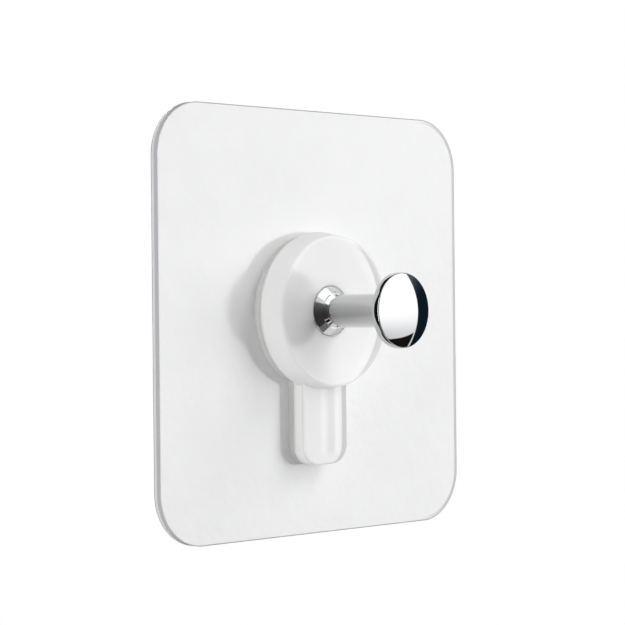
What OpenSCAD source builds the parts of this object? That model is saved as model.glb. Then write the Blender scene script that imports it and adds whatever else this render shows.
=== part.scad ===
// Adhesive wall hook: a clear square sheet that sticks to a wall, a frosted keyhole-shaped boss
// bonded to the sheet, and a chrome mushroom-headed peg that screws onto a screw trapped in the boss.
// Millimetres. X is to the right and Z is up along the wall. The wall is the plane y = 0, and the
// hook stands out of it towards -Y. The origin is the centre of the back of the sheet's stack.

/* [Sheet] */
// Width of the clear sheet
sheet_w = 60; // [44:1:100]
// Height of the clear sheet
sheet_h = 60; // [52:1:100]
// Radius of the sheet's corners
sheet_corner_r = 7.5; // [2:0.5:16]
// Thickness of the clear sheet
sheet_t = 0.8; // [0.4:0.1:2]

/* [Backing] */
// Thickness of the adhesive film behind the sheet
adhesive_t = 0.45; // [0.2:0.05:1.5]
// Thickness of the release liner behind the adhesive
liner_t = 0.1; // [0.05:0.05:0.3]

/* [Boss] */
// Place of the peg's axis to the right of the sheet's centre
boss_x = -1.7; // [-6:0.1:6]
// Place of the peg's axis above the sheet's centre
boss_z = 1.55; // [-3:0.05:8]
// Thickness of the pad that bonds the boss to the sheet
pad_t = 0.95; // [0.4:0.05:2]
// Radius of the pad and of the boss where they meet
boss_rear_r = 10.75; // [9.5:0.05:13]
// Radius of the boss at its widest
boss_wide_r = 11.2; // [9.5:0.05:14]
// Radius of the boss at its front
boss_front_r = 10.65; // [9.5:0.05:13]
// Depth of the boss from the pad to its front rim
boss_d = 4.35; // [4:0.05:8]
// Distance of the widest ring from the pad
boss_wide_d = 1.05; // [0.3:0.05:1.8]
// Radius of the rounding along the front rim
rim_round_r = 0.9; // [0.3:0.05:1.4]
// Depth of the dish in the front face
dish_d = 1.15; // [0.3:0.05:1.3]

/* [Tail] */
// Width of the boss's tail
tail_w = 8.6; // [6:0.1:12]
// Distance from the peg's axis to the tail's lower end
tail_l = 21.55; // [16:0.05:26]
// Depth of the tail from the pad to its front face
tail_d = 2.25; // [1:0.05:3]
// Radius of the tail's lower corners
tail_corner_r = 2.8; // [0.5:0.1:2.9]

/* [Screw] */
// Major radius of the captive screw's thread
screw_r = 1.5; // [1:0.1:2]
// Pitch of the thread
thread_pitch = 0.5; // [0.3:0.05:0.8]
// Whole turns that lift the peg before its last stretch of thread
unscrew_turns = 7; // [3:1:9]
// Length of thread that is still engaged after those turns
thread_spare = 0.5; // [0.2:0.1:1]
// Width across the flats of the screw's hexagon head
hex_w = 5.5; // [4.6:0.1:7]
// Thickness of the screw's head
hex_t = 1.8; // [1:0.1:2.2]

/* [Collar] */
// Radius of the collar's rim
collar_r = 3.5; // [2.9:0.05:5]
// Thickness of the collar's rim
collar_rim_t = 0.2; // [0.1:0.05:0.4]
// Height of the collar's outer cone above its seat
collar_cone_t = 1.05; // [0.6:0.05:1.5]
// Height of the collar's hub above the outer cone
collar_hub_t = 0.35; // [0.2:0.05:0.8]
// Depth of the collar's seat below the middle of the dish
seat_d = 0.1; // [0.05:0.05:0.3]
// Ledge of the collar around its hub
collar_ledge = 0.12; // [0.05:0.01:0.4]

/* [Peg] */
// Wall of the peg's shank around its threaded hole
shank_wall = 0.8; // [0.4:0.05:1.2]
// Wall of the peg's neck around its threaded hole
neck_wall = 0.3; // [0.2:0.05:0.4]
// Length of the neck between the collar and the shank
neck_l = 1.05; // [0.3:0.05:2]
// Length of the shank from the neck to the back of the head
shank_l = 10.45; // [8:0.05:25]
// Radius of the mushroom head
head_r = 5.2; // [4:0.1:9]
// Thickness of the head at its rim
head_rim_t = 1.1; // [0.4:0.05:2]
// Rise of the head's dome above the rim
dome_rise = 1.05; // [0.3:0.05:2]

/* [Hidden] */
$fn = 96;

// Sides of the screw's head
hex_sides = 6;
// Radial play of the turning fits on the screw
running_fit = 0.05;
// Play around the screw in the boss and around its head in the pocket
pocket_clear = 0.1;
// Play around the collar's rim in its seat
seat_clear = 0.15;
// Free depth of the peg's hole past the end of the screw
hole_end_clear = 0.4;
// Overrun of every cut past the face that it opens
cut_overrun = 1;

// Distances from the wall
adhesive_at = liner_t;
sheet_at = adhesive_at + adhesive_t;
pad_at = sheet_at + sheet_t;
boss_at = pad_at + pad_t;
rim_at = boss_at + boss_d;
seat_at = rim_at - dish_d - seat_d;
collar_t = collar_cone_t + collar_hub_t;
peg_at = seat_at + collar_t;
shank_at = peg_at + neck_l;
head_at = shank_at + shank_l;
dome_at = head_at + head_rim_t;

// Screw and the bores that it passes through
thread_engaged = unscrew_turns * thread_pitch + thread_spare;
screw_shank_l = peg_at + thread_engaged - boss_at - hex_t;
hex_corner_r = hex_w / 2 / cos(180 / hex_sides);
pocket_corner_r = (hex_w / 2 + pocket_clear) / cos(180 / hex_sides);
shank_hole_r = screw_r + running_fit;
shank_r = shank_hole_r + shank_wall;
neck_r = shank_hole_r + neck_wall;
collar_top_r = shank_r + collar_ledge;

// Spheres that the dish and the dome are parts of
dish_edge_r = boss_front_r - rim_round_r;
dish_sphere_r = (dish_edge_r ^ 2 + dish_d ^ 2) / (2 * dish_d);
dome_sphere_r = (head_r ^ 2 + dome_rise ^ 2) / (2 * dome_rise);

// Lays a shape that is drawn flat, with its depth along +Z, against the wall, at a distance from it
module off_wall(distance) {
    rotate([90, 0, 0]) translate([0, 0, distance]) children();
}

// The same, centred on the peg's axis
module on_axis(distance) {
    off_wall(distance) translate([boss_x, boss_z, 0]) children();
}

module sheet_outline() {
    square([sheet_w - 2 * sheet_corner_r, sheet_h], center = true);
    square([sheet_w, sheet_h - 2 * sheet_corner_r], center = true);
    for (side = [-1, 1], end = [-1, 1])
        translate([side * (sheet_w / 2 - sheet_corner_r), end * (sheet_h / 2 - sheet_corner_r)])
            circle(sheet_corner_r);
}

module tail_outline() {
    translate([-tail_w / 2, tail_corner_r - tail_l]) square([tail_w, tail_l - tail_corner_r]);
    translate([tail_corner_r - tail_w / 2, -tail_l]) square([tail_w - 2 * tail_corner_r, tail_l]);
    for (side = [-1, 1])
        translate([side * (tail_w / 2 - tail_corner_r), tail_corner_r - tail_l]) circle(tail_corner_r);
}

module layer(at, thickness) {
    off_wall(at) linear_extrude(thickness) sheet_outline();
}

module release_liner() {
    color("gainsboro") layer(0, liner_t);
}

module adhesive_film() {
    color("ghostwhite") layer(adhesive_at, adhesive_t);
}

module backing_sheet() {
    color("whitesmoke") layer(sheet_at, sheet_t);
}

module bond_pad() {
    color("lightgray") on_axis(pad_at) linear_extrude(pad_t) {
        circle(boss_rear_r);
        tail_outline();
    }
}

// Half of the disc's section: rear edge, widest ring, rounded front rim
module disc_section() {
    polygon([
        [0, 0],
        [boss_rear_r, 0],
        [boss_wide_r, boss_wide_d],
        [boss_front_r, boss_d - rim_round_r],
        [dish_edge_r, boss_d],
        [0, boss_d]
    ]);
    translate([dish_edge_r, boss_d - rim_round_r]) circle(rim_round_r);
}

module boss() {
    color("white") on_axis(boss_at) difference() {
        union() {
            rotate_extrude() disc_section();
            linear_extrude(tail_d) tail_outline();
        }
        translate([0, 0, boss_d - dish_d + dish_sphere_r]) sphere(dish_sphere_r);
        translate([0, 0, seat_at - boss_at]) cylinder(h = dish_d + cut_overrun, r = collar_r + seat_clear);
        cylinder(h = boss_d, r = screw_r + pocket_clear);
        translate([0, 0, -cut_overrun])
            cylinder(h = hex_t + cut_overrun, r = pocket_corner_r, $fn = hex_sides);
    }
}

module captive_screw() {
    color("lightsteelblue") on_axis(boss_at) {
        cylinder(h = hex_t, r = hex_corner_r, $fn = hex_sides);
        translate([0, 0, hex_t]) cylinder(h = screw_shank_l, r = screw_r);
    }
}

module collar() {
    color("silver") on_axis(seat_at) rotate_extrude() polygon([
        [shank_hole_r, 0],
        [collar_r, 0],
        [collar_r, collar_rim_t],
        [collar_top_r, collar_cone_t],
        [shank_r, collar_cone_t],
        [neck_r, collar_t],
        [shank_hole_r, collar_t]
    ]);
}

module peg() {
    color("silver") on_axis(0) difference() {
        union() {
            translate([0, 0, peg_at]) cylinder(h = neck_l + shank_l, r = neck_r);
            translate([0, 0, shank_at]) cylinder(h = shank_l, r = shank_r);
            translate([0, 0, head_at]) cylinder(h = head_rim_t, r = head_r);
            intersection() {
                translate([0, 0, dome_at + dome_rise - dome_sphere_r]) sphere(dome_sphere_r);
                translate([0, 0, dome_at]) cylinder(h = dome_rise, r = head_r);
            }
        }
        translate([0, 0, peg_at - cut_overrun])
            cylinder(h = thread_engaged + hole_end_clear + cut_overrun, r = shank_hole_r);
    }
}

release_liner();
adhesive_film();
backing_sheet();
bond_pad();
boss();
captive_screw();
collar();
peg();
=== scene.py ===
# %% [markdown]
# # An adhesive wall hook
# A clear square sheet sticks to the wall, a frosted keyhole-shaped boss is bonded to the sheet, and a
# chrome peg screws onto a screw that is trapped in the boss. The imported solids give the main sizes, so
# this lesson first loads them as a fixed frame and then dresses each one: a finer mesh where light would
# show a hard edge, and a finish built from shader nodes.

# %% Load the frame
import bpy
import bmesh
import math
from mathutils import Matrix, Vector


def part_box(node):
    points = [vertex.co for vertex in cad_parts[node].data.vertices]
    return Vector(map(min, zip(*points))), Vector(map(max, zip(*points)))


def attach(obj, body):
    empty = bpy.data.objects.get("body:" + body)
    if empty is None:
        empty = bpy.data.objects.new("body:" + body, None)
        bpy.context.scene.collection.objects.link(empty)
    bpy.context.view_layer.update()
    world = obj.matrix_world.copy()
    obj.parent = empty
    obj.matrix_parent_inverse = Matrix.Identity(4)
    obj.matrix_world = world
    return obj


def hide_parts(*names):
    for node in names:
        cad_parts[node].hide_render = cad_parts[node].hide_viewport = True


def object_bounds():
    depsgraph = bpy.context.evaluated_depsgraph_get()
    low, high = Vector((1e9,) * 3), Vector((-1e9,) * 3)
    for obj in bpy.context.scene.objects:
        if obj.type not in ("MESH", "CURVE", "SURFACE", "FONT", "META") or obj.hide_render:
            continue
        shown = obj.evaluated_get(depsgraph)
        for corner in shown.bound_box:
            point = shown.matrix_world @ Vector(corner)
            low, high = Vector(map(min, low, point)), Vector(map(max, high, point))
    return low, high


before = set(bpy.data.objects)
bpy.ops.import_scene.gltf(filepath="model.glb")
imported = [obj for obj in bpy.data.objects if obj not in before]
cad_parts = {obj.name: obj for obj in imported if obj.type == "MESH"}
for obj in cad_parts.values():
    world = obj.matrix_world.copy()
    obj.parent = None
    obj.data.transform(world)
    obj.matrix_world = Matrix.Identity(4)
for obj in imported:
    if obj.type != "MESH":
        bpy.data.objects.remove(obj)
cad_low, cad_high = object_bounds()
print("nodes", sorted(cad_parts), "box", list(cad_low), list(cad_high))

# %% [markdown]
# ## Sizes from the frame
# Each solid's box tells where it starts and ends. The wall is the plane y = 0 and the hook stands out of
# it towards -Y, so a distance from the wall is -y. The peg's axis runs through the middle of the collar.
# Reading these once keeps the dressed pieces and the solids in step when a size changes.

# %% Measure the solids
MM = 0.001


def depth_span(node):
    """Distances from the wall of a node's rear and front, in metres."""
    low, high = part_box(node)
    return -high.y, -low.y


def half_width(node):
    low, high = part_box(node)
    return (high.x - low.x) / 2


collar_low, collar_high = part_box("collar")
axis_x = (collar_low.x + collar_high.x) / 2
axis_z = (collar_low.z + collar_high.z) / 2
tail_length = axis_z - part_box("bond_pad")[0].z
liner_rear, liner_front = depth_span("release_liner")
adhesive_rear, adhesive_front = depth_span("adhesive_film")
sheet_rear, sheet_front = depth_span("backing_sheet")
pad_rear, pad_front = depth_span("bond_pad")
boss_rear, boss_front = depth_span("boss")
screw_rear, screw_front = depth_span("captive_screw")
collar_rear, collar_front = depth_span("collar")
peg_rear, peg_tip = depth_span("peg")
sheet_half = half_width("backing_sheet")
pad_r = half_width("bond_pad")
boss_wide_r = half_width("boss")
collar_r = half_width("collar")
head_r = half_width("peg")
print("peg axis at", axis_x, axis_z, "sheet half width", sheet_half, "peg tip", peg_tip)

# %% [markdown]
# ## Camera
# The hook is seen from the left at about half a right angle, level with its middle. A camera can be
# placed by hand or from an angle and a distance; the second way keeps the aim point fixed while the angle
# is tuned. The small roll leans the upright edges a little, as a camera held by hand does.

# %% Place the camera
view_azimuth = math.radians(45.5)
view_elevation = math.radians(0.151)
view_roll = math.radians(-0.582)
view_distance = 304.759 * MM
view_target = Vector((-1.037, -1.35, 1.359)) * MM
film_width = 36
lens_length = 123.65
near_limit = 10 * MM

camera_data = bpy.data.cameras.new("photo_camera")
camera_data.sensor_width = film_width
camera_data.lens = lens_length
camera_data.clip_start = near_limit
camera = bpy.data.objects.new("photo_camera", camera_data)
bpy.context.scene.collection.objects.link(camera)
view_direction = Vector((
    -math.sin(view_azimuth) * math.cos(view_elevation),
    -math.cos(view_azimuth) * math.cos(view_elevation),
    math.sin(view_elevation),
))
camera.location = view_target + view_distance * view_direction
facing = (-view_direction).to_track_quat("-Z", "Y").to_matrix()
camera.rotation_euler = (facing @ Matrix.Rotation(view_roll, 3, "Z")).to_euler()
bpy.context.scene.camera = camera
bpy.context.scene.view_settings.view_transform = "Standard"
print("camera at", camera.location)

# %% [markdown]
# ## White surroundings
# The hook hangs in plain white. A world that is white for every ray would flood the matt pieces with flat
# light and wash their shapes out. The Light Path node tells rays apart, so this world is white to the
# camera, to mirrors and to clear plastic, and much dimmer to matt surfaces, which the lamps then model.

# %% World
ambient_strength = 0.08
WHITE = (1, 1, 1, 1)


def emptied(tree):
    tree.nodes.clear()
    return tree.nodes, tree.links


def sees_white(nodes, links):
    """A value of 1 for camera, mirror and see-through rays, and 0 for light on matt surfaces."""
    path = nodes.new("ShaderNodeLightPath")
    direct = nodes.new("ShaderNodeMath")
    direct.operation = "MAXIMUM"
    either = nodes.new("ShaderNodeMath")
    either.operation = "MAXIMUM"
    links.new(path.outputs["Is Camera Ray"], direct.inputs[0])
    links.new(path.outputs["Is Glossy Ray"], direct.inputs[1])
    links.new(direct.outputs[0], either.inputs[0])
    links.new(path.outputs["Is Transmission Ray"], either.inputs[1])
    return either.outputs[0]


world = bpy.data.worlds.new("white_studio")
bpy.context.scene.world = world
world.use_nodes = True
nodes, links = emptied(world.node_tree)
strength = nodes.new("ShaderNodeMapRange")
strength.inputs["To Min"].default_value = ambient_strength
strength.inputs["To Max"].default_value = 1
links.new(sees_white(nodes, links), strength.inputs["Value"])
sky = nodes.new("ShaderNodeBackground")
sky.inputs["Color"].default_value = WHITE
links.new(strength.outputs["Result"], sky.inputs["Strength"])
world_out = nodes.new("ShaderNodeOutputWorld")
links.new(sky.outputs["Background"], world_out.inputs["Surface"])
print("world", world.name, "ambient", ambient_strength)

# %% [markdown]
# ## Floor
# A pale floor lies well below the hook, as a table would lie below a hook on a wall. Placed close, it
# would throw light up under the boss and thin out the shadows. It follows the same rule as the world:
# white to the camera and to mirrors, and matt to the lamps.

# %% Floor
FLOOR_TONE = (0.85, 0.85, 0.85, 1)
floor_drop = 420 * MM
floor_size = 8

floor_finish = bpy.data.materials.new("pale_floor")
floor_finish.use_nodes = True
nodes, links = emptied(floor_finish.node_tree)
matt = nodes.new("ShaderNodeBsdfDiffuse")
matt.inputs["Color"].default_value = FLOOR_TONE
glow = nodes.new("ShaderNodeEmission")
glow.inputs["Color"].default_value = WHITE
choice = nodes.new("ShaderNodeMixShader")
floor_out = nodes.new("ShaderNodeOutputMaterial")
links.new(sees_white(nodes, links), choice.inputs["Fac"])
links.new(matt.outputs["BSDF"], choice.inputs[1])
links.new(glow.outputs["Emission"], choice.inputs[2])
links.new(choice.outputs["Shader"], floor_out.inputs["Surface"])

bm = bmesh.new()
bmesh.ops.create_grid(bm, x_segments=1, y_segments=1, size=floor_size / 2)
bmesh.ops.translate(bm, verts=bm.verts, vec=(0, 0, cad_low.z - floor_drop))
floor_mesh = bpy.data.meshes.new("floor")
bm.to_mesh(floor_mesh)
bm.free()
floor_mesh.materials.append(floor_finish)
floor = bpy.data.objects.new("floor", floor_mesh)
bpy.context.scene.collection.objects.link(floor)
print("floor at", cad_low.z - floor_drop)

# %% [markdown]
# ## Lamps
# White plastic on a white sheet is drawn by its shadows. One large box would leave them too faint and one
# small lamp too hard, so a small strong lamp at the front right draws the core of the shadow, and boxes
# near and above it soften its edge. A weak fill comes from the front, a strip at the far left lights the
# side wall of the boss, and a box behind lights the liner. Each lamp aims at the peg's head and is placed
# by two angles and a distance, so it can be swung around without losing its aim.

# %% Hang the lamps
aim = Vector((axis_x, -peg_tip, axis_z))


def around(azimuth, elevation, distance):
    """A point around the peg's head: azimuth 0 is straight out of the wall, and it grows to the right."""
    turn = math.radians(azimuth)
    rise = math.radians(elevation)
    return aim + distance * Vector((
        math.sin(turn) * math.cos(rise),
        -math.cos(turn) * math.cos(rise),
        math.sin(rise),
    ))


def soft_lamp(name, azimuth, elevation, distance, width, height, radiance):
    lamp = bpy.data.lights.new(name, "AREA")
    lamp.shape = "RECTANGLE"
    lamp.size = width
    lamp.size_y = height
    lamp.energy = radiance * math.pi * width * height
    holder = bpy.data.objects.new(name, lamp)
    bpy.context.scene.collection.objects.link(holder)
    holder.location = around(azimuth, elevation, distance)
    holder.rotation_euler = (aim - holder.location).to_track_quat("-Z", "Y").to_euler()
    holder.visible_camera = False
    print(name, "at", holder.location, "power", lamp.energy)


# Name, azimuth and elevation in degrees, distance, width and height in metres, and radiance
LAMPS = (
    ("key_lamp", 31, -1, 0.9, 0.06, 0.06, 140),
    ("middle_box", 34, 4, 0.9, 0.3, 0.3, 1.8),
    ("right_box", 42, 6, 0.7, 0.28, 0.28, 4.1),
    ("upper_box", 35, 40, 0.7, 0.4, 0.4, 4.2),
    ("front_fill", -10, 15, 0.7, 0.5, 0.5, 0.55),
    ("left_strip", -88, 4, 0.6, 0.12, 0.7, 7),
    ("rear_box", 180, 20, 0.8, 0.7, 0.7, 2.6),
)
for lamp_settings in LAMPS:
    soft_lamp(*lamp_settings)

# %% [markdown]
# ## Finishes from nodes
# Each finish starts from one Principled shader. Numbers that are the same all over go straight onto its
# sockets, and noise patterns on the object's own coordinates add what a hand lens would show. Images
# could do this too, but noise needs no unwrapping and stays sharp at any distance. Coordinates are in
# metres, so a noise scale of 1000 has about one grain to a millimetre.

# %% Patterns
def new_finish(name, **sockets):
    finish = bpy.data.materials.new(name)
    finish.use_nodes = True
    tree = finish.node_tree
    shader = tree.nodes["Principled BSDF"]
    for socket, value in sockets.items():
        shader.inputs[socket.replace("_", " ")].default_value = value
    return finish, tree, shader


def place_on_object(tree):
    return tree.nodes.new("ShaderNodeTexCoord").outputs["Object"]


def grain(tree, place, scale, detail=4, roughness=0.55, distortion=0):
    noise = tree.nodes.new("ShaderNodeTexNoise")
    noise.inputs["Scale"].default_value = scale
    noise.inputs["Detail"].default_value = detail
    noise.inputs["Roughness"].default_value = roughness
    noise.inputs["Distortion"].default_value = distortion
    tree.links.new(place, noise.inputs["Vector"])
    return noise.outputs["Fac"]


def spread(tree, value, low, high, to_low, to_high, step="LINEAR"):
    """Maps a stretch of a pattern onto another stretch of values."""
    remap = tree.nodes.new("ShaderNodeMapRange")
    remap.interpolation_type = step
    remap.inputs["From Min"].default_value = low
    remap.inputs["From Max"].default_value = high
    remap.inputs["To Min"].default_value = to_low
    remap.inputs["To Max"].default_value = to_high
    tree.links.new(value, remap.inputs["Value"])
    return remap.outputs["Result"]


def tones(tree, value, first, second):
    """Two colours mixed by a pattern."""
    mix = tree.nodes.new("ShaderNodeMix")
    mix.data_type = "RGBA"
    mix.inputs["A"].default_value = (*first, 1)
    mix.inputs["B"].default_value = (*second, 1)
    tree.links.new(value, mix.inputs["Factor"])
    return mix.outputs["Result"]


def relief(tree, shader, height, depth):
    bump = tree.nodes.new("ShaderNodeBump")
    bump.inputs["Strength"].default_value = 1
    bump.inputs["Distance"].default_value = depth
    tree.links.new(height, bump.inputs["Height"])
    tree.links.new(bump.outputs["Normal"], shader.inputs["Normal"])


# %% [markdown]
# ## Masks
# Some tones belong to one place, such as a line along a cut edge. A mask is a number from 0 to 1 all over
# a surface. It could be painted by hand, but here it is worked out from distances: a soft step at a
# distance, a stripe between two of them, or the distance in from the edge of a rounded rectangle.

# %% Masks from distances
def along(tree, place, axis):
    split = tree.nodes.new("ShaderNodeSeparateXYZ")
    tree.links.new(place, split.inputs[0])
    return split.outputs[axis]


def overlap(tree, first, second):
    """Where two masks lie over each other."""
    step = tree.nodes.new("ShaderNodeMath")
    step.operation = "MULTIPLY"
    tree.links.new(first, step.inputs[0])
    tree.links.new(second, step.inputs[1])
    return step.outputs[0]


def ramp(tree, value, start, end):
    """A soft step from 0 at the first distance to 1 at the second one."""
    if start < end:
        return spread(tree, value, start, end, 0, 1, "SMOOTHSTEP")
    return spread(tree, value, end, start, 1, 0, "SMOOTHSTEP")


def stripe(tree, value, start, end, soft):
    """A soft-edged stripe between two distances."""
    rise = ramp(tree, value, start, start + soft)
    fall = ramp(tree, value, end, end - soft)
    return overlap(tree, rise, fall)


def shade(tree, colour, tone, mask):
    """Lays a tone over a colour where a mask asks for it."""
    mix = tree.nodes.new("ShaderNodeMix")
    mix.data_type = "RGBA"
    mix.inputs["B"].default_value = (*tone, 1)
    tree.links.new(colour, mix.inputs["A"])
    tree.links.new(mask, mix.inputs["Factor"])
    return mix.outputs["Result"]


def vector_step(tree, operation, vector, constant=None):
    step = tree.nodes.new("ShaderNodeVectorMath")
    step.operation = operation
    tree.links.new(vector, step.inputs[0])
    if constant:
        step.inputs[1].default_value = constant
    return step.outputs["Vector"]


def inside_outline(tree, place, centre_x, centre_z, half_x, half_z, radius):
    """Distance in from the edge of a rounded rectangle on the wall's plane, in metres."""
    offset = vector_step(tree, "SUBTRACT", place, (centre_x, 0, centre_z))
    quarter = vector_step(tree, "ABSOLUTE", offset)
    corner = vector_step(tree, "SUBTRACT", quarter, (half_x - radius, 0, half_z - radius))
    beyond = vector_step(tree, "MAXIMUM", corner, (0, 0, 0))
    flat = vector_step(tree, "MULTIPLY", beyond, (1, 0, 1))
    reach = tree.nodes.new("ShaderNodeVectorMath")
    reach.operation = "LENGTH"
    tree.links.new(flat, reach.inputs[0])
    inside = tree.nodes.new("ShaderNodeMath")
    inside.operation = "SUBTRACT"
    inside.inputs[0].default_value = radius
    tree.links.new(reach.outputs["Value"], inside.inputs[1])
    return inside.outputs[0]


# %% [markdown]
# ## Clear sheet
# The sheet is clear plastic with a fine embossed skin. Real see-through plastic would only show the pale
# adhesive behind it and would cost many light bounces, so a pale, half-matt surface stands for both.
# Noise gives the skin its relief and an uneven gloss. The right border is darkened with painted shade, for
# the eye looking into the cut end there, and a thin dark line of painted shade follows the die's cut,
# fading out towards the left.

# %% Finish of the sheet
PLASTIC_IOR = 1.46
# Most noise values lie in this stretch
NOISE_SPAN = (0.3, 0.7)
CORNER_R = 7.5 * MM
SKIN_SCALE = 480
SKIN_RELIEF = 0.16 * MM
SKIN_GLOSS = (0.5, 0.62)
SHEET_CLOUD_SCALE = 160
SHEET_TONES = ((0.915, 0.917, 0.918), (0.885, 0.886, 0.888))
EDGE_SHADE_TONE = (0.58, 0.58, 0.59)
BAND_WIDTH = (0.7 * MM, 0.5 * MM)
BAND_FROM = (20 * MM, 29 * MM)
CUT_LINE_SHADE_TONE = (0.36, 0.36, 0.37)
CUT_LINE_WIDTH = (0.2 * MM, 0.08 * MM)
CUT_LINE_FROM = (-29 * MM, -21 * MM)


def make_clear_sheet():
    finish, tree, shader = new_finish("clear_sheet", IOR=PLASTIC_IOR)
    place = place_on_object(tree)
    skin = grain(tree, place, SKIN_SCALE, detail=5)
    cloud = grain(tree, place, SHEET_CLOUD_SCALE, detail=2)
    colour = tones(tree, cloud, *SHEET_TONES)
    inside = inside_outline(tree, place, 0, 0, sheet_half, sheet_half, CORNER_R)
    across = along(tree, place, "X")
    # Painted shade: the right border is darkened where the eye looks into the cut end
    band = overlap(tree, ramp(tree, inside, *BAND_WIDTH), ramp(tree, across, *BAND_FROM))
    colour = shade(tree, colour, EDGE_SHADE_TONE, band)
    # Painted shade: a thin dark line along the cut edges, fading out towards the left
    cut_line_shade = overlap(tree, ramp(tree, inside, *CUT_LINE_WIDTH), ramp(tree, across, *CUT_LINE_FROM))
    colour = shade(tree, colour, CUT_LINE_SHADE_TONE, cut_line_shade)
    tree.links.new(colour, shader.inputs["Base Color"])
    gloss = spread(tree, skin, *NOISE_SPAN, *SKIN_GLOSS)
    tree.links.new(gloss, shader.inputs["Roughness"])
    relief(tree, shader, skin, SKIN_RELIEF)
    return finish


clear_sheet = make_clear_sheet()
print("finish", clear_sheet.name, "skin relief", SKIN_RELIEF)

# %% [markdown]
# ## Cut edge
# Where the die has gone through, the sheet shows a glossier, greyer edge with a touch of violet and fine
# nicks. It is a second material slot of the same piece, because a mask on the first one would have to
# find the edge again.

# %% Finish of the cut edge
EDGE_ROUGHNESS = 0.28
NICK_SCALE = 2600
NICK_RELIEF = 0.006 * MM
EDGE_TONES = ((0.7, 0.69, 0.725), (0.65, 0.64, 0.675))


def make_cut_edge():
    finish, tree, shader = new_finish("cut_edge", Roughness=EDGE_ROUGHNESS, IOR=PLASTIC_IOR)
    nicks = grain(tree, place_on_object(tree), NICK_SCALE, detail=5)
    tree.links.new(tones(tree, nicks, *EDGE_TONES), shader.inputs["Base Color"])
    relief(tree, shader, nicks, NICK_RELIEF)
    return finish


cut_edge = make_cut_edge()
print("finish", cut_edge.name)

# %% [markdown]
# ## Adhesive and liner
# The adhesive is a nearly clear gel, which reads as a bright band at the sheet's edge, with soft cloudy
# patches. The liner behind it is a thin smooth film that lies in faint waves, with a dark line along its
# rim. Both are drawn as pale surfaces and not as see-through ones, for the same reason as the sheet.

# %% Finishes behind the sheet
GEL_ROUGHNESS = 0.18
GEL_IOR = 1.47
GEL_CLOUD_SCALE = 420
GEL_RELIEF = 0.02 * MM
GEL_TONES = ((0.98, 0.98, 0.975), (0.95, 0.95, 0.945))
FILM_IOR = 1.5
FILM_GRAIN_SCALE = 900
FILM_GLOSS = (0.12, 0.22)
FILM_TONES = ((0.80, 0.81, 0.82), (0.74, 0.75, 0.76))
FILM_RIM_TONE = (0.22, 0.22, 0.23)
FILM_RIM_WIDTH = (0.12 * MM, 0.02 * MM)
WAVE_SCALE = 70
WAVE_RELIEF = 0.05 * MM


def make_adhesive():
    finish, tree, shader = new_finish("adhesive", Roughness=GEL_ROUGHNESS, IOR=GEL_IOR)
    cloud = grain(tree, place_on_object(tree), GEL_CLOUD_SCALE, detail=3)
    tree.links.new(tones(tree, cloud, *GEL_TONES), shader.inputs["Base Color"])
    relief(tree, shader, cloud, GEL_RELIEF)
    return finish


def make_liner():
    finish, tree, shader = new_finish("liner_film", IOR=FILM_IOR)
    place = place_on_object(tree)
    waves = grain(tree, place, WAVE_SCALE, detail=2, distortion=0.6)
    inside = inside_outline(tree, place, 0, 0, sheet_half, sheet_half, CORNER_R)
    colour = tones(tree, waves, *FILM_TONES)
    colour = shade(tree, colour, FILM_RIM_TONE, ramp(tree, inside, *FILM_RIM_WIDTH))
    tree.links.new(colour, shader.inputs["Base Color"])
    gloss = spread(tree, grain(tree, place, FILM_GRAIN_SCALE), *NOISE_SPAN, *FILM_GLOSS)
    tree.links.new(gloss, shader.inputs["Roughness"])
    relief(tree, shader, waves, WAVE_RELIEF)
    return finish


adhesive = make_adhesive()
liner_film = make_liner()
print("finishes", adhesive.name, liner_film.name)

# %% [markdown]
# ## Helpers for flat pieces
# The sheet's layers, the pad and the tail are cut from flat outlines. Their corners could be drawn as
# lists of points, but a plain rectangle whose corners are bevelled keeps the radius as one number. The
# outline is then extruded to its thickness. A narrow rim inset in each large face keeps smooth shading
# from bending across it.

# %% Flat outlines
SAME_PLANE = 0.001 * MM


def flat_plate(width, height, centre_x, centre_z, out):
    """A flat rectangle that faces out of the wall, at a distance from it."""
    bm = bmesh.new()
    bmesh.ops.create_grid(bm, x_segments=1, y_segments=1, size=0.5)
    bmesh.ops.scale(bm, verts=bm.verts, vec=(width, height, 1))
    upright = Matrix.Rotation(math.pi / 2, 3, "X")
    bmesh.ops.rotate(bm, verts=bm.verts, cent=(0, 0, 0), matrix=upright)
    bmesh.ops.translate(bm, verts=bm.verts, vec=(centre_x, -out, centre_z))
    return bm


def round_corners(bm, verts, radius, steps):
    bmesh.ops.bevel(
        bm, geom=verts, offset=radius, offset_type="OFFSET", segments=steps, profile=0.5,
        affect="VERTICES", material=-1,
    )


def thicken(bm, thickness):
    """Extrudes the flat outline out of the wall."""
    risen = bmesh.ops.extrude_face_region(bm, geom=bm.faces[:])
    top = [v for v in risen["geom"] if isinstance(v, bmesh.types.BMVert)]
    bmesh.ops.translate(bm, verts=top, vec=(0, -thickness, 0))
    bmesh.ops.recalc_face_normals(bm, faces=bm.faces[:])


def in_plane(verts, out):
    return all(abs(v.co.y + out) < SAME_PLANE for v in verts)


def edges_at(bm, out):
    """Edges that lie in the plane at a distance from the wall."""
    return [e for e in bm.edges if in_plane(e.verts, out)]


def ease_edges(bm, edges, size, steps):
    bmesh.ops.bevel(
        bm, geom=edges, offset=size, offset_type="OFFSET", segments=steps, profile=0.5,
        affect="EDGES", material=-1, clamp_overlap=True,
    )


def support_flat_faces(bm, outs, inset):
    """A narrow rim inside each large flat face, so that smooth shading stays flat inside it."""
    for out in outs:
        flats = [f for f in bm.faces if in_plane(f.verts, out)]
        bmesh.ops.inset_region(bm, faces=flats, thickness=inset, use_even_offset=True)


print("faces within", SAME_PLANE, "of a plane count as flat on it")

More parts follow.
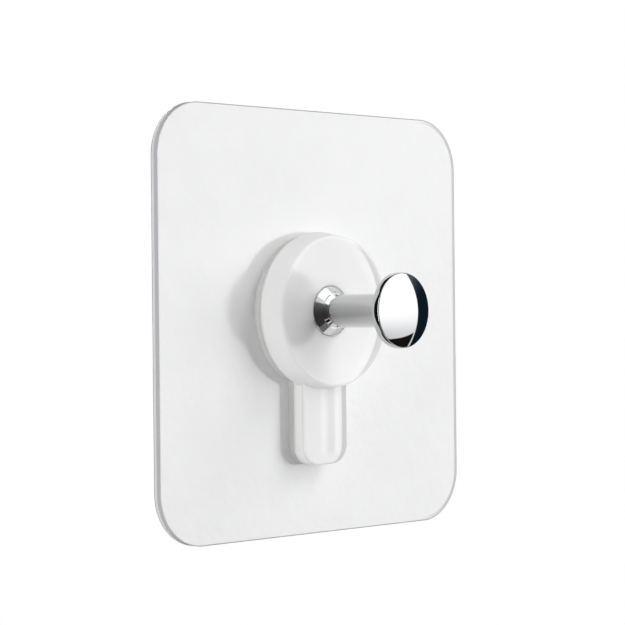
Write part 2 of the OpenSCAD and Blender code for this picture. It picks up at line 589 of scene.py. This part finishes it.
# %% [markdown]
# ## Handing a piece over
# A finished mesh becomes an object at the origin, rides on the body that carries its solid, and stands
# for that solid. Smooth shading with a limit angle keeps the real corners sharp and the round stretches
# round, without an edge list for each piece.

# %% Finish a piece
SHARP_DEGREES = 32


def finished_piece(bm, name, node, body, finishes):
    """Makes the object, shades it smooth up to an angle, and lets it stand for its solid."""
    for face in bm.faces:
        face.smooth = True
    mesh = bpy.data.meshes.new(name)
    bm.to_mesh(mesh)
    bm.free()
    mesh.set_sharp_from_angle(angle=math.radians(SHARP_DEGREES))
    for finish in finishes:
        mesh.materials.append(finish)
    piece = bpy.data.objects.new(name, mesh)
    bpy.context.scene.collection.objects.link(piece)
    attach(piece, body)
    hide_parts(node)
    print(name, len(mesh.polygons), "faces for", node)


# %% [markdown]
# ## Sheet, adhesive and liner
# Three layers share one outline: a square with round corners. Each starts as a flat rectangle, its four
# corners are bevelled to arcs, and it is extruded to its own thickness. The sheet's front edge is eased a
# little, as a die leaves it, and its cut sides get the edge finish.

# %% Cut the layers
CORNER_STEPS = 40
EDGE_EASE = 0.1 * MM
EDGE_STEPS = 4
RIM_SUPPORT = 0.25 * MM
SIDE_SLOPE = 0.1


def layer(rear, front, ease):
    bm = flat_plate(2 * sheet_half, 2 * sheet_half, 0, 0, rear)
    round_corners(bm, bm.verts[:], CORNER_R, CORNER_STEPS)
    thicken(bm, front - rear)
    if ease:
        ease_edges(bm, edges_at(bm, front), ease, EDGE_STEPS)
    support_flat_faces(bm, (rear, front), RIM_SUPPORT)
    return bm


bm = layer(sheet_rear, sheet_front, EDGE_EASE)
for face in bm.faces:
    face.normal_update()
    if abs(face.normal.y) < SIDE_SLOPE:
        face.material_index = 1
finished_piece(bm, "die_cut_sheet", "backing_sheet", "plate", [clear_sheet, cut_edge])
bm = layer(adhesive_rear, adhesive_front, 0)
finished_piece(bm, "adhesive_layer", "adhesive_film", "plate", [adhesive])
bm = layer(liner_rear, liner_front, 0)
finished_piece(bm, "peel_off_liner", "release_liner", "liner", [liner_film])

# %% [markdown]
# ## Helpers for turned pieces
# The disc, the collar and the peg are round about one axis. A lathe would be a Screw modifier on a drawn
# curve; here one vertex is drawn out by extruding it to the next corner of the half section, or swung
# about a centre where the section is an arc, and the finished wire is spun once around the axis. So every
# corner is given as a radius and a distance from the wall, as on a turner's drawing.

# %% Section and spin
TURN_STEPS = 192
MERGE_GAP = 0.0005 * MM


def section_start(radius, out):
    bm = bmesh.new()
    return bm, bm.verts.new((axis_x + radius, -out, axis_z))


def line_to(bm, vert, radius, out):
    """Draws the section on to a new corner, given as a radius and a distance from the wall."""
    corner = bmesh.ops.extrude_vert_indiv(bm, verts=[vert])["verts"][0]
    corner.co = (axis_x + radius, -out, axis_z)
    return corner


def arc_to(bm, vert, centre_radius, centre_out, degrees, steps):
    """Swings the section's end about a centre. Positive degrees turn from the rim towards the wall."""
    swung = bmesh.ops.spin(
        bm, geom=[vert], cent=(axis_x + centre_radius, -centre_out, axis_z), axis=(0, 0, 1),
        dvec=(0, 0, 0), angle=math.radians(degrees), steps=steps, use_merge=False,
    )
    return [v for v in swung["geom_last"] if isinstance(v, bmesh.types.BMVert)][0]


def spun(bm):
    """Spins the whole section around the peg's axis and closes the seam and the poles."""
    bmesh.ops.spin(
        bm, geom=bm.verts[:] + bm.edges[:], cent=(axis_x, 0, axis_z), axis=(0, 1, 0),
        dvec=(0, 0, 0), angle=2 * math.pi, steps=TURN_STEPS, use_merge=True,
    )
    bmesh.ops.remove_doubles(bm, verts=bm.verts[:], dist=MERGE_GAP)
    bmesh.ops.recalc_face_normals(bm, faces=bm.faces[:])
    return bm


print("turned pieces have", TURN_STEPS, "steps around")

# %% [markdown]
# ## Joining and trimming
# The keyhole is a disc and a bar in one piece. A Boolean modifier makes one closed mesh of two shapes,
# but it is unsure where two faces lie in the same plane. Both shapes are therefore made deeper than they
# need to be, on different planes, and the extra depth is cut off flat afterwards.

# %% Join and trim
CUT_SPARE = 0.3 * MM


def joined(bm, other, operation):
    """Adds a second shape to the first one, or cuts it out, and returns one closed mesh."""
    blanks = []
    for shape in (bm, other):
        mesh = bpy.data.meshes.new("blank")
        shape.to_mesh(mesh)
        shape.free()
        blank = bpy.data.objects.new("blank", mesh)
        bpy.context.scene.collection.objects.link(blank)
        blanks.append(blank)
    cut = blanks[0].modifiers.new("join", "BOOLEAN")
    cut.operation = operation
    cut.solver = "EXACT"
    cut.object = blanks[1]
    depsgraph = bpy.context.evaluated_depsgraph_get()
    result = bmesh.new()
    result.from_mesh(blanks[0].evaluated_get(depsgraph).to_mesh())
    for blank in blanks:
        mesh = blank.data
        bpy.data.objects.remove(blank)
        bpy.data.meshes.remove(mesh)
    bmesh.ops.remove_doubles(result, verts=result.verts[:], dist=MERGE_GAP)
    return result


def trimmed(bm, out, side):
    """Cuts a mesh off flat at a distance from the wall and closes it: side 1 drops the rear part."""
    bmesh.ops.bisect_plane(
        bm, geom=bm.verts[:] + bm.edges[:] + bm.faces[:], plane_co=(0, -out, 0),
        plane_no=(0, side, 0), clear_outer=True,
    )
    bmesh.ops.remove_doubles(bm, verts=bm.verts[:], dist=MERGE_GAP)
    rim = [e for e in bm.edges if e.is_boundary]
    bmesh.ops.triangle_fill(bm, edges=rim, use_beauty=True, normal=(0, side, 0))
    bmesh.ops.recalc_face_normals(bm, faces=bm.faces[:])
    return bm


print("spare depth for cuts", CUT_SPARE)

# %% [markdown]
# ## Bond pad
# The pad is a thin foam-like keyhole between the boss and the sheet. Only its side shows, as a grey ring.
# Along the tail it is darker, which is painted shade. Its finish is a fine grain in two greys. Its shape
# is a turned disc and a flat bar, joined and trimmed, because that is also how the boss above it is made.

# %% Finish of the pad
FOAM_ROUGHNESS = 0.5
FOAM_IOR = 1.45
FOAM_SCALE = 2200
FOAM_RELIEF = 0.02 * MM
FOAM_TONES = ((0.7, 0.7, 0.69), (0.62, 0.62, 0.61))
TAIL_PAD_SHADE_TONE = (0.57, 0.57, 0.56)


def make_bond():
    finish, tree, shader = new_finish("bond", Roughness=FOAM_ROUGHNESS, IOR=FOAM_IOR)
    place = place_on_object(tree)
    foam = grain(tree, place, FOAM_SCALE, detail=4)
    colour = tones(tree, foam, *FOAM_TONES)
    # Painted shade: the pad is darker along the tail
    shaded_tail = ramp(tree, along(tree, place, "Z"), axis_z - 9 * MM, axis_z - 11 * MM)
    colour = shade(tree, colour, TAIL_PAD_SHADE_TONE, shaded_tail)
    tree.links.new(colour, shader.inputs["Base Color"])
    relief(tree, shader, foam, FOAM_RELIEF)
    return finish


bond = make_bond()
print("finish", bond.name)

# %% Tail and pad
TAIL_HALF = 4.3 * MM
TAIL_CORNER_R = 2.8 * MM
TAIL_CORNER_STEPS = 16
TAIL_TOP = 6 * MM
TAIL_EASE_STEPS = 6
TAIL_SUPPORT = 0.12 * MM


def tail_bar(rear, thickness, ease):
    """The bar below the disc, from inside the disc down, with round lower corners."""
    length = tail_length - TAIL_TOP
    middle = axis_z - TAIL_TOP - length / 2
    bm = flat_plate(2 * TAIL_HALF, length, axis_x, middle, rear)
    lower = [v for v in bm.verts if v.co.z < middle]
    round_corners(bm, lower, TAIL_CORNER_R, TAIL_CORNER_STEPS)
    thicken(bm, thickness)
    front = rear + thickness
    if ease:
        rim = [e for e in edges_at(bm, front) if min(v.co.z for v in e.verts) < middle]
        ease_edges(bm, rim, ease, TAIL_EASE_STEPS)
        bmesh.ops.bisect_plane(
            bm, geom=bm.verts[:] + bm.edges[:] + bm.faces[:],
            plane_co=(0, ease + TAIL_SUPPORT - front, 0), plane_no=(0, 1, 0),
        )
        support_flat_faces(bm, (front,), TAIL_SUPPORT)
    return bm


def pad_disc():
    bm, end = section_start(0, pad_rear - CUT_SPARE)
    end = line_to(bm, end, pad_r, pad_rear - CUT_SPARE)
    end = line_to(bm, end, pad_r, pad_front + CUT_SPARE)
    line_to(bm, end, 0, pad_front + CUT_SPARE)
    return spun(bm)


pad_bar = tail_bar(pad_rear - 2 * CUT_SPARE, pad_front - pad_rear + 4 * CUT_SPARE, 0)
bm = joined(pad_disc(), pad_bar, "UNION")
bm = trimmed(trimmed(bm, pad_rear, 1), pad_front, -1)
finished_piece(bm, "keyhole_pad", "bond_pad", "plate", [bond])

# %% [markdown]
# ## Frosted plastic
# The boss is moulded from milky plastic with a finely blasted skin. Light goes in and comes out again a
# little way off, which subsurface scattering does and a plain matt colour can't. At the right of the face
# the rear edge shows through as a soft grey crescent with a bright line beside it. That crescent is
# painted shade and the line a painted highlight, drawn from a mask, a second circle moved to the left,
# because clear scattering plastic renders slowly and noisily. The wall just above the tail is lifted with
# painted light.

# %% Finish of the disc
FROST_SCALE = 5200
FROST_RELIEF = 0.004 * MM
FROST_GLOSS = (0.46, 0.58)
MILK_CLOUD_SCALE = 190
DISC_TONES = ((0.945, 0.945, 0.94), (0.915, 0.915, 0.912))
DISC_SCATTER = 2 * MM
BACK_SHIFT = 2.05 * MM
CRESCENT_SHADE_TONE = (0.66, 0.66, 0.657)
PAINTED_LIGHT_TONE = (0.99, 0.99, 0.985)


def frosted_base(name, cloud_tones, scatter):
    """Plastic that lets light in and scatters it, with a finely blasted skin."""
    finish, tree, shader = new_finish(
        name, IOR=PLASTIC_IOR, Subsurface_Weight=1, Subsurface_Radius=(1, 1, 1), Subsurface_Scale=scatter,
    )
    place = place_on_object(tree)
    frost = grain(tree, place, FROST_SCALE, detail=3)
    cloud = grain(tree, place, MILK_CLOUD_SCALE, detail=2)
    gloss = spread(tree, frost, *NOISE_SPAN, *FROST_GLOSS)
    tree.links.new(gloss, shader.inputs["Roughness"])
    relief(tree, shader, frost, FROST_RELIEF)
    return finish, tree, shader, place, tones(tree, cloud, *cloud_tones)


def circle_inside(tree, place, centre_x):
    """Distance in from a circle of the disc's widest size."""
    return inside_outline(tree, place, centre_x, axis_z, boss_wide_r, boss_wide_r, boss_wide_r)


def make_frosted():
    finish, tree, shader, place, colour = frosted_base("frosted_plastic", DISC_TONES, DISC_SCATTER)
    across = along(tree, place, "X")
    back = circle_inside(tree, place, axis_x - BACK_SHIFT)
    on_face = ramp(tree, circle_inside(tree, place, axis_x), 0.5 * MM, 0.8 * MM)
    on_right = ramp(tree, across, axis_x + 3 * MM, axis_x + 6 * MM)
    on_face = overlap(tree, on_face, on_right)
    # Painted shade: the rear edge seen through the face as a grey crescent
    crescent = ramp(tree, back, 0.1 * MM, -0.1 * MM)
    colour = shade(tree, colour, CRESCENT_SHADE_TONE, overlap(tree, crescent, on_face))
    # Painted highlight: a bright line beside the crescent
    highlight_line = stripe(tree, back, 0.1 * MM, 1.5 * MM, 0.4 * MM)
    colour = shade(tree, colour, PAINTED_LIGHT_TONE, overlap(tree, highlight_line, on_face))
    # Painted light: the disc's wall just above the tail is made a little lighter
    over_tail = stripe(tree, across, axis_x - 4 * MM, axis_x + 4.4 * MM, 0.8 * MM)
    low_wall = ramp(tree, along(tree, place, "Z"), axis_z - 10 * MM, axis_z - 10.5 * MM)
    colour = shade(tree, colour, PAINTED_LIGHT_TONE, overlap(tree, over_tail, low_wall))
    tree.links.new(colour, shader.inputs["Base Color"])
    return finish


frosted = make_frosted()
print("finish", frosted.name, "scatter", DISC_SCATTER)

# %% [markdown]
# ## Frosted tail
# The tail is the same plastic, but thin enough that its rear and its edges show through as upright light
# and grey streaks. These are painted light and painted shade in its colour: stripes across it that follow
# the tail's own outline, with a darker band where a copy of the outline, moved to the left, ends. A line
# of painted shade runs along the side wall below the front edge, and a painted highlight along the front
# edge. The scatter is shorter here: with a long one, the unlit rear would draw a dark line along the side
# wall, next to the pad.

# %% Finish of the tail
TAIL_TONES = ((0.877, 0.877, 0.8736), (0.871, 0.871, 0.868))
TAIL_SCATTER = 0.6 * MM
TAIL_SHIFT = 1.2 * MM
TAIL_BAND_SHADE_TONE = (0.62, 0.62, 0.617)
CREASE_SHADE_TONE = (0.78, 0.78, 0.777)
# Streaks of painted light and shade: start and end of each in millimetres from the tail's left edge, and
# its tone
PAINTED_STREAKS = ((3.0, 4.3, 0.94), (4.4, 6.0, 0.8), (5.9, 7.2, 0.96))


def make_frosted_tail():
    finish, tree, shader, place, colour = frosted_base("frosted_tail", TAIL_TONES, TAIL_SCATTER)
    half_length = tail_length / 2
    # Painted shade: a darker band where the outline moved to the left ends
    back = inside_outline(
        tree, place, axis_x - TAIL_SHIFT, axis_z - half_length, TAIL_HALF, half_length, TAIL_CORNER_R,
    )
    colour = shade(tree, colour, TAIL_BAND_SHADE_TONE, ramp(tree, back, 0.08 * MM, -0.12 * MM))
    # The distance out of the wall, which is -y
    forward = spread(tree, along(tree, place, "Y"), 0, -1, 0, 1)
    # Painted shade along the side wall, just below the eased front edge
    crease = stripe(tree, forward, boss_rear + 1.6 * MM, boss_rear + 1.98 * MM, 0.12 * MM)
    colour = shade(tree, colour, CREASE_SHADE_TONE, crease)
    # Painted highlight along the eased front edge
    edge = stripe(tree, forward, boss_rear + 2.02 * MM, boss_rear + 2.24 * MM, 0.06 * MM)
    colour = shade(tree, colour, PAINTED_LIGHT_TONE, edge)
    across = along(tree, place, "X")
    left = axis_x - TAIL_HALF
    end = axis_z - tail_length
    upright = ramp(tree, along(tree, place, "Z"), end + 0.8 * MM, end + 2.2 * MM)
    # Painted light and shade: the streaks across the tail
    for start, stop, tone in PAINTED_STREAKS:
        streak = stripe(tree, across, left + start * MM, left + stop * MM, 0.4 * MM)
        colour = shade(tree, colour, (tone, tone, tone), overlap(tree, streak, upright))
    tree.links.new(colour, shader.inputs["Base Color"])
    return finish


frosted_tail = make_frosted_tail()
print("finish", frosted_tail.name, "streaks", len(PAINTED_STREAKS))

# %% [markdown]
# ## Boss
# The boss is one moulding: a disc with a belly, a rounded rim and a shallow dish, and the tail below it.
# It could be carved from one block, but each half is simple by itself. The disc is turned, the tail is
# cut from a flat outline with eased front edges, and a union joins them. The six-sided pocket that keeps
# the screw's head from turning is cut last, from behind.

# %% Disc and pocket
BELLY_OUT = 1.05 * MM
BELLY_SOFTEN = 0.2 * MM
BELLY_STEPS = 8
FRONT_R = 10.65 * MM
RIM_R = 0.4 * MM
RIM_STEPS = 10
DISH_DEPTH = 1.15 * MM
DISH_STEPS = 24
SEAT_R = 3.65 * MM
BORE_R = 1.6 * MM
dish_edge = FRONT_R - RIM_R
dish_sphere = (dish_edge ** 2 + DISH_DEPTH ** 2) / (2 * DISH_DEPTH)
dish_centre = boss_front - DISH_DEPTH + dish_sphere
dish_swing = math.degrees(math.asin(dish_edge / dish_sphere) - math.asin(SEAT_R / dish_sphere))


def boss_disc():
    bm, end = section_start(BORE_R, boss_rear - CUT_SPARE)
    end = line_to(bm, end, pad_r, boss_rear - CUT_SPARE)
    end = line_to(bm, end, pad_r, boss_rear)
    belly = line_to(bm, end, boss_wide_r, boss_rear + BELLY_OUT)
    end = line_to(bm, belly, FRONT_R, boss_front - RIM_R)
    end = arc_to(bm, end, dish_edge, boss_front - RIM_R, -90, RIM_STEPS)
    end = arc_to(bm, end, 0, dish_centre, dish_swing, DISH_STEPS)
    end = line_to(bm, end, SEAT_R, collar_rear)
    end = line_to(bm, end, BORE_R, collar_rear)
    line_to(bm, end, BORE_R, boss_rear - CUT_SPARE)
    round_corners(bm, [belly], BELLY_SOFTEN, BELLY_STEPS)
    return spun(bm)


def hexagon(flats, rear, height):
    """A six-sided prism on the peg's axis, given by its width across the flats."""
    bm = bmesh.new()
    corner_r = flats / 2 / math.cos(math.pi / 6)
    bmesh.ops.create_circle(bm, cap_ends=True, segments=6, radius=corner_r)
    flats_turn = Matrix.Rotation(math.pi / 6, 3, "Z")
    upright = Matrix.Rotation(math.pi / 2, 3, "X")
    bmesh.ops.rotate(bm, verts=bm.verts, cent=(0, 0, 0), matrix=flats_turn)
    bmesh.ops.rotate(bm, verts=bm.verts, cent=(0, 0, 0), matrix=upright)
    bmesh.ops.translate(bm, verts=bm.verts, vec=(axis_x, -rear, axis_z))
    thicken(bm, height)
    return bm


print("dish sphere", dish_sphere, "swing", dish_swing)

# %% Join the boss
TAIL_DEPTH = 2.25 * MM
TAIL_EASE = 0.3 * MM
HEX_T = 1.8 * MM
POCKET_W = 5.7 * MM
DISC_MARGIN = 0.05 * MM
TAIL_MARGIN = 0.01 * MM

boss_bar = tail_bar(boss_rear - 2 * CUT_SPARE, TAIL_DEPTH + 2 * CUT_SPARE, TAIL_EASE)
bm = trimmed(joined(boss_disc(), boss_bar, "UNION"), boss_rear, 1)
bm = joined(bm, hexagon(POCKET_W, boss_rear - CUT_SPARE, HEX_T + CUT_SPARE), "DIFFERENCE")
for face in bm.faces:
    middle = face.calc_center_median()
    reach = math.hypot(middle.x - axis_x, middle.z - axis_z)
    in_tail_width = abs(middle.x - axis_x) < TAIL_HALF + TAIL_MARGIN
    if reach > boss_wide_r - DISC_MARGIN and middle.z < axis_z and in_tail_width:
        face.material_index = 1
finished_piece(bm, "keyhole_boss", "boss", "plate", [frosted, frosted_tail])

# %% [markdown]
# ## Chrome
# Collar and peg are chrome-plated. A mirror needs little of its own: a grey metal colour, a very low
# roughness, and faint wiping marks that change both a little. All else that chrome shows is the room,
# which the cards further down give it.

# %% Finish of the chrome
WIPE_SCALE = 240
WIPE_SPAN = (0.3, 0.75)
CHROME_GLOSS = (0.018, 0.05)
CHROME_TONES = ((0.61, 0.612, 0.616), (0.585, 0.59, 0.596))


def make_chrome():
    finish, tree, shader = new_finish("chrome", Metallic=1)
    wipe = grain(tree, place_on_object(tree), WIPE_SCALE, detail=5, roughness=0.65, distortion=1.2)
    gloss = spread(tree, wipe, *WIPE_SPAN, *CHROME_GLOSS)
    tree.links.new(gloss, shader.inputs["Roughness"])
    tree.links.new(tones(tree, wipe, *CHROME_TONES), shader.inputs["Base Color"])
    return finish


chrome = make_chrome()
print("finish", chrome.name)

# %% [markdown]
# ## Collar
# The collar is a washer in two steps: a wide cone that flares onto the boss, a narrow ledge, and a short
# steeper hub that runs in under the peg's neck. The ledge draws a light ring line on the dark foot of the
# peg, so it is real geometry and no bump. The rim is rounded, as plating leaves it.

# %% Turn the collar
COLLAR_RIM = 0.2 * MM
COLLAR_ROUND = 0.18 * MM
COLLAR_ROUND_STEPS = 8
CONE_RISE = 1.05 * MM
COLLAR_TOP_R = 2.47 * MM
HUB_R = 2.35 * MM
NECK_R = 1.85 * MM
PEG_HOLE_R = 1.55 * MM

bm, end = section_start(PEG_HOLE_R, collar_rear)
end = line_to(bm, end, collar_r, collar_rear)
rim = line_to(bm, end, collar_r, collar_rear + COLLAR_RIM)
end = line_to(bm, rim, COLLAR_TOP_R, collar_rear + CONE_RISE)
end = line_to(bm, end, HUB_R, collar_rear + CONE_RISE)
end = line_to(bm, end, NECK_R, collar_front)
end = line_to(bm, end, PEG_HOLE_R, collar_front)
line_to(bm, end, PEG_HOLE_R, collar_rear)
round_corners(bm, [rim], COLLAR_ROUND, COLLAR_ROUND_STEPS)
finished_piece(spun(bm), "flared_collar", "collar", "collar", [chrome])

# %% [markdown]
# ## Peg
# The peg is turned in one piece: a narrow neck, a plain shank and a mushroom head with a low dome. The
# head's rim is slightly barrel-shaped. A straight rim would mirror one tone all along, and the barrel
# shows a light line beside a dark one. The section runs from the tip of the dome to the end of the
# threaded hole. The rear face is held a hair off the collar, so that no two turning faces touch.

# %% Measure the head
HEAD_REAR = 18.3 * MM
RIM_FRONT = 19.4 * MM
BARREL_R = 4.5 * MM
BARREL_OUT = 18.45 * MM
barrel_front = math.asin((RIM_FRONT - BARREL_OUT) / BARREL_R)
barrel_rear = math.asin((BARREL_OUT - HEAD_REAR) / BARREL_R)
barrel_swing = math.degrees(barrel_front + barrel_rear)
barrel_r = head_r - BARREL_R
rim_edge_r = barrel_r + BARREL_R * math.cos(barrel_front)
dome_rise = peg_tip - RIM_FRONT
dome_sphere = (rim_edge_r ** 2 + dome_rise ** 2) / (2 * dome_rise)
dome_swing = math.degrees(math.asin(rim_edge_r / dome_sphere))
print("dome sphere", dome_sphere, "swing", dome_swing, "barrel swing", barrel_swing)

# %% Turn the peg
SHANK_R = 2.35 * MM
SHANK_REAR = 7.85 * MM
HOLE_END = 11.2 * MM
SEAT_GAP = 0.01 * MM
DOME_STEPS = 32
BARREL_STEPS = 6
# Radius and steps of each eased corner
FRONT_ROUND = (0.1 * MM, 6)
REAR_ROUND = (0.08 * MM, 5)
NECK_ROUND = (0.25 * MM, 6)
FOOT_ROUND = (0.06 * MM, 4)
seat_out = peg_rear + SEAT_GAP

bm, end = section_start(0, peg_tip)
front_edge = arc_to(bm, end, 0, peg_tip - dome_sphere, dome_swing, DOME_STEPS)
rear_edge = arc_to(bm, front_edge, barrel_r, BARREL_OUT, barrel_swing, BARREL_STEPS)
under_head = line_to(bm, rear_edge, SHANK_R, HEAD_REAR)
foot = line_to(bm, under_head, SHANK_R, SHANK_REAR)
end = line_to(bm, foot, NECK_R, SHANK_REAR)
end = line_to(bm, end, NECK_R, seat_out)
end = line_to(bm, end, PEG_HOLE_R, seat_out)
end = line_to(bm, end, PEG_HOLE_R, HOLE_END)
line_to(bm, end, 0, HOLE_END)
round_corners(bm, [front_edge], *FRONT_ROUND)
round_corners(bm, [rear_edge], *REAR_ROUND)
round_corners(bm, [under_head], *NECK_ROUND)
round_corners(bm, [foot], *FOOT_ROUND)
finished_piece(spun(bm), "mushroom_peg", "peg", "peg", [chrome])

# %% [markdown]
# ## Screw
# A small zinc-plated screw is trapped in the boss, and shows when the peg is screwed out. Zinc has a
# duller shine than chrome, with a fine spangle. The thread could be faked with a bump, but it is the
# screw's outline, so one ridge is spun around the axis and moved on by one pitch at each turn, until the
# turns join into a rod. The ends are cut off flat, and a union adds the hexagon head.

# %% Finish of the screw
SPANGLE_SCALE = 1400
SPANGLE_RELIEF = 0.005 * MM
ZINC_GLOSS = (0.22, 0.4)
ZINC_TONES = ((0.62, 0.63, 0.65), (0.48, 0.49, 0.5))


def make_zinc():
    finish, tree, shader = new_finish("steel", Metallic=1)
    spangle = grain(tree, place_on_object(tree), SPANGLE_SCALE, detail=5)
    tree.links.new(tones(tree, spangle, *ZINC_TONES), shader.inputs["Base Color"])
    gloss = spread(tree, spangle, *NOISE_SPAN, *ZINC_GLOSS)
    tree.links.new(gloss, shader.inputs["Roughness"])
    relief(tree, shader, spangle, SPANGLE_RELIEF)
    return finish


zinc = make_zinc()
print("finish", zinc.name)

# %% Thread and head
PITCH = 0.5 * MM
SCREW_R = 1.5 * MM
THREAD_DEPTH = 0.3 * MM
CREST = 0.08 * MM
THREAD_STEPS = 48
THREAD_MERGE = 0.002 * MM
HEX_W = 5.5 * MM
HEX_EASE = 0.12 * MM
HEX_EASE_STEPS = 2


def threaded_rod(rear, front):
    """One ridge of the thread, turned and moved on along the axis until the turns join into a rod."""
    turns = math.ceil((front - rear) / PITCH) + 2
    bm, end = section_start(SCREW_R - THREAD_DEPTH, rear - PITCH)
    end = line_to(bm, end, SCREW_R, rear - PITCH / 2 - CREST / 2)
    end = line_to(bm, end, SCREW_R, rear - PITCH / 2 + CREST / 2)
    line_to(bm, end, SCREW_R - THREAD_DEPTH, rear)
    bmesh.ops.spin(
        bm, geom=bm.verts[:] + bm.edges[:], cent=(axis_x, 0, axis_z), axis=(0, -1, 0),
        dvec=(0, -PITCH / THREAD_STEPS, 0), angle=2 * math.pi * turns,
        steps=THREAD_STEPS * turns, use_merge=False,
    )
    bmesh.ops.remove_doubles(bm, verts=bm.verts[:], dist=THREAD_MERGE)
    for out, side in ((rear, 1), (front, -1)):
        bmesh.ops.bisect_plane(
            bm, geom=bm.verts[:] + bm.edges[:] + bm.faces[:], plane_co=(axis_x, -out, axis_z),
            plane_no=(0, side, 0), clear_outer=True,
        )
        bmesh.ops.remove_doubles(bm, verts=bm.verts[:], dist=THREAD_MERGE)
        rim = [e for e in edges_at(bm, out) if e.is_boundary]
        bmesh.ops.edgeloop_fill(bm, edges=rim)
    bmesh.ops.recalc_face_normals(bm, faces=bm.faces[:])
    return bm


head = hexagon(HEX_W, screw_rear, HEX_T)
ease_edges(head, edges_at(head, screw_rear + HEX_T), HEX_EASE, HEX_EASE_STEPS)
rod = threaded_rod(screw_rear + HEX_T / 2, screw_front)
print("thread", len(rod.faces), "faces")
bm = joined(head, rod, "UNION")
finished_piece(bm, "hexagon_screw", "captive_screw", "plate", [zinc])

# %% [markdown]
# ## Cards for the chrome
# Polished metal has no look of its own: it shows what stands around it. A photographer therefore sets up
# white and dark cards just outside the picture. These cards are seen by mirrors alone, so they cast no
# shadow and take no light from the matt pieces. Their edges fade out, and each may change its tone from
# foot to head. Lamps could give the white, but only cards can give the dark.

# %% A card that only mirrors see
def card_finish(name, foot_tone, head_tone, rise, soft):
    """A glow that changes from foot to head over a stretch of the card, with edges that fade out."""
    finish = bpy.data.materials.new(name)
    finish.use_nodes = True
    tree = finish.node_tree
    nodes, links = emptied(tree)
    place_on_card = nodes.new("ShaderNodeTexCoord").outputs["UV"]
    sides = []
    for axis in ("X", "Y"):
        from_edge = nodes.new("ShaderNodeMath")
        from_edge.operation = "PINGPONG"
        from_edge.inputs[1].default_value = 0.5
        links.new(along(tree, place_on_card, axis), from_edge.inputs[0])
        sides.append(ramp(tree, from_edge.outputs[0], 0, soft))
    height = ramp(tree, along(tree, place_on_card, "Y"), *rise)
    glow = nodes.new("ShaderNodeEmission")
    links.new(tones(tree, height, foot_tone, head_tone), glow.inputs["Color"])
    clear = nodes.new("ShaderNodeBsdfTransparent")
    mix = nodes.new("ShaderNodeMixShader")
    out = nodes.new("ShaderNodeOutputMaterial")
    links.new(overlap(tree, *sides), mix.inputs["Fac"])
    links.new(clear.outputs["BSDF"], mix.inputs[1])
    links.new(glow.outputs["Emission"], mix.inputs[2])
    links.new(mix.outputs["Shader"], out.inputs["Surface"])
    return finish


def mirror_card(name, distance, corners, foot_tone, head_tone, rise, soft):
    """A card whose corners stand in given directions around the head, first the two at its foot."""
    bm = bmesh.new()
    bm.loops.layers.uv.new("UVMap")
    bmesh.ops.create_grid(bm, x_segments=1, y_segments=1, size=0.5, calc_uvs=True)
    for vert, (azimuth, elevation) in zip(bm.verts, corners):
        vert.co = around(azimuth, elevation, distance)
    mesh = bpy.data.meshes.new(name)
    bm.to_mesh(mesh)
    bm.free()
    mesh.materials.append(card_finish(name, foot_tone, head_tone, rise, soft))
    card = bpy.data.objects.new(name, mesh)
    bpy.context.scene.collection.objects.link(card)
    card.visible_camera = False
    card.visible_diffuse = False
    card.visible_transmission = False
    card.visible_shadow = False
    print(name, "corners", corners)


# %% [markdown]
# ## Where the cards stand
# The white card at the front right fills the dome, and the navy one beside it draws the blue-black edge at
# its right. A low black card darkens the dome's foot, with a grey one below it. Two dark cards stand near
# the camera and at the left, and a dark board around the sheet meets the rays that go back past it. One
# large painted backdrop could do all this too, but cards can be moved one at a time.

# %% Stand the cards around the peg
NAVY = (0.007, 0.015, 0.027)
HAZE = (0.26, 0.33, 0.40)
BLACK = (0.012, 0.011, 0.010)
UMBER = (0.05, 0.046, 0.044)
SLATE = (0.2, 0.2, 0.21)
ASH = (0.2, 0.2, 0.2)
SNOW = (1.7, 1.7, 1.7)
PEARL = (1.0, 1.0, 1.02)
EVEN = (0, 1)
BOARD_HALF = 150 * MM
BOARD_OUT = 0.25 * MM
board_back = peg_tip - BOARD_OUT
board_distance = math.sqrt(2 * BOARD_HALF ** 2 + board_back ** 2)
board_turn = 90 + math.degrees(math.atan2(board_back, BOARD_HALF))
board_rise = math.degrees(math.asin(BOARD_HALF / board_distance))


def upright_card(left, right, foot, head):
    """The four corners of a card between two azimuths and two elevations."""
    return ((left, foot), (right, foot), (left, head), (right, head))


# Name, distance in metres, corners in degrees, tones at foot and head, stretch of the change, soft edge
CARDS = (
    ("white_card", 0.6, ((-8, -26), (66, -20), (-30, 64), (66, 64)), PEARL, SNOW, (0, 0.32), 0.02),
    ("navy_card", 0.45, ((67, -36), (130, -32), (62, 36), (130, 40)), NAVY, HAZE, (0.58, 1.05), 0.02),
    ("low_card", 0.4, ((-12, -44), (64, -38), (-12, -31), (64, -16)), BLACK, BLACK, EVEN, 0.02),
    ("foot_card", 0.42, upright_card(-30, 34, -80, -44), ASH, ASH, EVEN, 0.1),
    ("camera_card", 0.28, upright_card(-62, -12, -62, 34), UMBER, SLATE, (0.5, 1), 0.12),
    ("left_card", 0.3, upright_card(-85, -58, -60, 60), BLACK, UMBER, (0.3, 1), 0.06),
    (
        "back_board", board_distance, upright_card(-board_turn, board_turn, -board_rise, board_rise),
        BLACK, BLACK, EVEN, 0.1,
    ),
)
for card_settings in CARDS:
    mirror_card(*card_settings)
